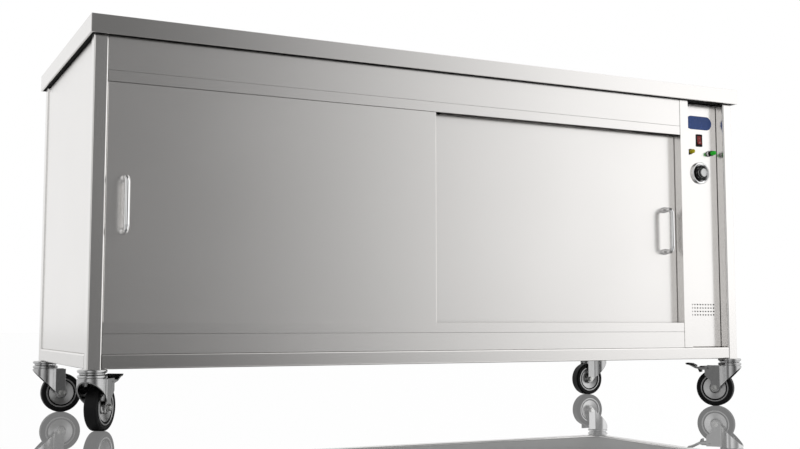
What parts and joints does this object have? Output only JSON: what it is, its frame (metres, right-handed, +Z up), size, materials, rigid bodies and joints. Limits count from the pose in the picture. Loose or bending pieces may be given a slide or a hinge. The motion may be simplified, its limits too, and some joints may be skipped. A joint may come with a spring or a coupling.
{
  "type": "mobile hot cupboard",
  "caption": "Stainless heated cupboard on swivel castors, with a flat worktop, two sliding doors and a recessed control bay at the right.",
  "frame": {"origin": "centre of the overall box on the floor", "axes": "+X to the right along the front, +Y to the back, +Z up; the doors and controls face -Y"},
  "size_m": [1.8112, 0.709, 0.889],
  "materials": {
    "satin_steel": "satin brushed stainless steel sheet",
    "frame_steel": "satin stainless steel square tube",
    "polished_steel": "polished stainless steel bar",
    "zinc_steel": "zinc plated pressed steel",
    "turned_steel": "bright zinc plated bolt",
    "element_steel": "heat-browned tubular heater",
    "board": "raw moisture-resistant board",
    "black_plastic": "moulded black nylon",
    "black_paint": "black coated steel",
    "badge_blue": "glossy blue domed badge",
    "rocker_red": "translucent red acrylic",
    "lens_amber": "translucent yellow-green acrylic",
    "lens_green": "translucent green acrylic",
    "chrome_ring": "polished bezel ring",
    "white_nylon": "natural nylon",
    "black_rubber": "solid black rubber",
    "grey_hub": "silver-grey wheel centre"
  },
  "bodies": {
    "cabinet": {"post_front_left": "frame_steel", "post_front_right": "frame_steel", "post_rear_left": "frame_steel", "post_rear_right": "frame_steel", "rail_front": "frame_steel", "rail_rear": "frame_steel", "rail_left": "frame_steel", "rail_right": "frame_steel", "control_stile": "satin_steel", "worktop": "satin_steel", "worktop_core": "board", "side_panel_left": "satin_steel", "side_panel_right": "satin_steel", "back_panel": "satin_steel", "base_pan": "satin_steel", "header_fascia": "satin_steel", "upper_track": "satin_steel", "lower_track": "satin_steel", "lower_apron": "satin_steel", "floor_panel": "satin_steel", "bay_divider": "satin_steel", "shelf": "satin_steel", "heating_element": "element_steel", "cable_gland": "black_plastic", "control_panel": "satin_steel", "badge": "badge_blue", "switch_housing": "black_plastic", "lamp_amber": "lens_amber", "lamp_green": "lens_green", "thermostat_body": "zinc_steel", "thermostat_bezel": "chrome_ring", "castor_heads": "zinc_steel"},
    "left_door": {"door_left": "satin_steel", "handle_left": "polished_steel"},
    "right_door": {"door_right": "satin_steel", "handle_right": "polished_steel"},
    "left_door_roller_a": {"roller_left_a": "white_nylon"},
    "left_door_roller_b": {"roller_left_b": "white_nylon"},
    "right_door_roller_a": {"roller_right_a": "white_nylon"},
    "right_door_roller_b": {"roller_right_b": "white_nylon"},
    "rocker": {"switch_rocker": "rocker_red"},
    "dial": {"thermostat_knob": "black_plastic"},
    "castor_front_left": {"fork_front_left": "zinc_steel", "axle_front_left": "turned_steel"},
    "wheel_front_left": {"tyre_front_left": "black_rubber", "hub_front_left": "grey_hub"},
    "brake_front_left": {"pedal_front_left": "black_paint"},
    "castor_front_right": {"fork_front_right": "zinc_steel", "axle_front_right": "turned_steel"},
    "wheel_front_right": {"tyre_front_right": "black_rubber", "hub_front_right": "grey_hub"},
    "brake_front_right": {"pedal_front_right": "black_paint"},
    "castor_rear_left": {"fork_rear_left": "zinc_steel", "axle_rear_left": "turned_steel"},
    "wheel_rear_left": {"tyre_rear_left": "black_rubber", "hub_rear_left": "grey_hub"},
    "castor_rear_right": {"fork_rear_right": "zinc_steel", "axle_rear_right": "turned_steel"},
    "wheel_rear_right": {"tyre_rear_right": "black_rubber", "hub_rear_right": "grey_hub"}
  },
  "joints": [
    {"name": "left_door_slide", "type": "slide", "parent": "cabinet", "child": "left_door", "axis": [1, 0, 0], "range_m": [0, 0.69]},
    {"name": "right_door_slide", "type": "slide", "parent": "cabinet", "child": "right_door", "axis": [1, 0, 0], "range_m": [-0.69, 0]},
    {"name": "left_door_roller_a_spin", "type": "hinge", "parent": "left_door", "child": "left_door_roller_a", "pos_m": [-0.76775, -0.312, 0.7878], "axis": [0, 1, 0], "continuous": true},
    {"name": "left_door_roller_b_spin", "type": "hinge", "parent": "left_door", "child": "left_door_roller_b", "pos_m": [-0.14775, -0.312, 0.7878], "axis": [0, 1, 0], "continuous": true},
    {"name": "right_door_roller_a_spin", "type": "hinge", "parent": "right_door", "child": "right_door_roller_a", "pos_m": [-0.00625, -0.2755, 0.7878], "axis": [0, 1, 0], "continuous": true},
    {"name": "right_door_roller_b_spin", "type": "hinge", "parent": "right_door", "child": "right_door_roller_b", "pos_m": [0.61375, -0.2755, 0.7878], "axis": [0, 1, 0], "continuous": true},
    {"name": "rocker_tilt", "type": "hinge", "parent": "cabinet", "child": "rocker", "pos_m": [0.79525, -0.2895, 0.743], "axis": [1, 0, 0], "range_deg": [0, 16]},
    {"name": "dial_turn", "type": "hinge", "parent": "cabinet", "child": "dial", "pos_m": [0.79525, -0.2915, 0.65], "axis": [0, -1, 0], "range_deg": [0, 270]},
    {"name": "swivel_front_left", "type": "hinge", "parent": "cabinet", "child": "castor_front_left", "pos_m": [-0.87413, -0.30462, 0.126], "axis": [0, 0, 1], "continuous": true},
    {"name": "wheel_front_left_spin", "type": "hinge", "parent": "castor_front_left", "child": "wheel_front_left", "pos_m": [-0.85061, -0.27226, 0.05], "axis": [-0.809, 0.5878, 0], "continuous": true},
    {"name": "brake_front_left_press", "type": "hinge", "parent": "castor_front_left", "child": "brake_front_left", "pos_m": [-0.84121, -0.25932, 0.104], "axis": [-0.809, 0.5878, 0], "range_deg": [0, 13]},
    {"name": "swivel_front_right", "type": "hinge", "parent": "cabinet", "child": "castor_front_right", "pos_m": [0.87413, -0.30462, 0.126], "axis": [0, 0, 1], "continuous": true},
    {"name": "wheel_front_right_spin", "type": "hinge", "parent": "castor_front_right", "child": "wheel_front_right", "pos_m": [0.8495, -0.2731, 0.05], "axis": [-0.788, -0.6157, 0], "continuous": true},
    {"name": "brake_front_right_press", "type": "hinge", "parent": "castor_front_right", "child": "brake_front_right", "pos_m": [0.83965, -0.2605, 0.104], "axis": [-0.788, -0.6157, 0], "range_deg": [0, 13]},
    {"name": "swivel_rear_left", "type": "hinge", "parent": "cabinet", "child": "castor_rear_left", "pos_m": [-0.87413, 0.31562, 0.126], "axis": [0, 0, 1], "continuous": true},
    {"name": "wheel_rear_left_spin", "type": "hinge", "parent": "castor_rear_left", "child": "wheel_rear_left", "pos_m": [-0.83415, 0.31423, 0.05], "axis": [0.0349, 0.9994, 0], "continuous": true},
    {"name": "swivel_rear_right", "type": "hinge", "parent": "cabinet", "child": "castor_rear_right", "pos_m": [0.87413, 0.31562, 0.126], "axis": [0, 0, 1], "continuous": true},
    {"name": "wheel_rear_right_spin", "type": "hinge", "parent": "castor_rear_right", "child": "wheel_rear_right", "pos_m": [0.83413, 0.31493, 0.05], "axis": [0.0175, -0.9998, 0], "continuous": true}
  ],
  "couplings": [
    {"joint": "left_door_roller_a_spin", "follows": "left_door_slide", "rad_per_m": 83.333},
    {"joint": "left_door_roller_b_spin", "follows": "left_door_slide", "rad_per_m": 83.333},
    {"joint": "right_door_roller_a_spin", "follows": "right_door_slide", "rad_per_m": 83.333},
    {"joint": "right_door_roller_b_spin", "follows": "right_door_slide", "rad_per_m": 83.333}
  ]
}
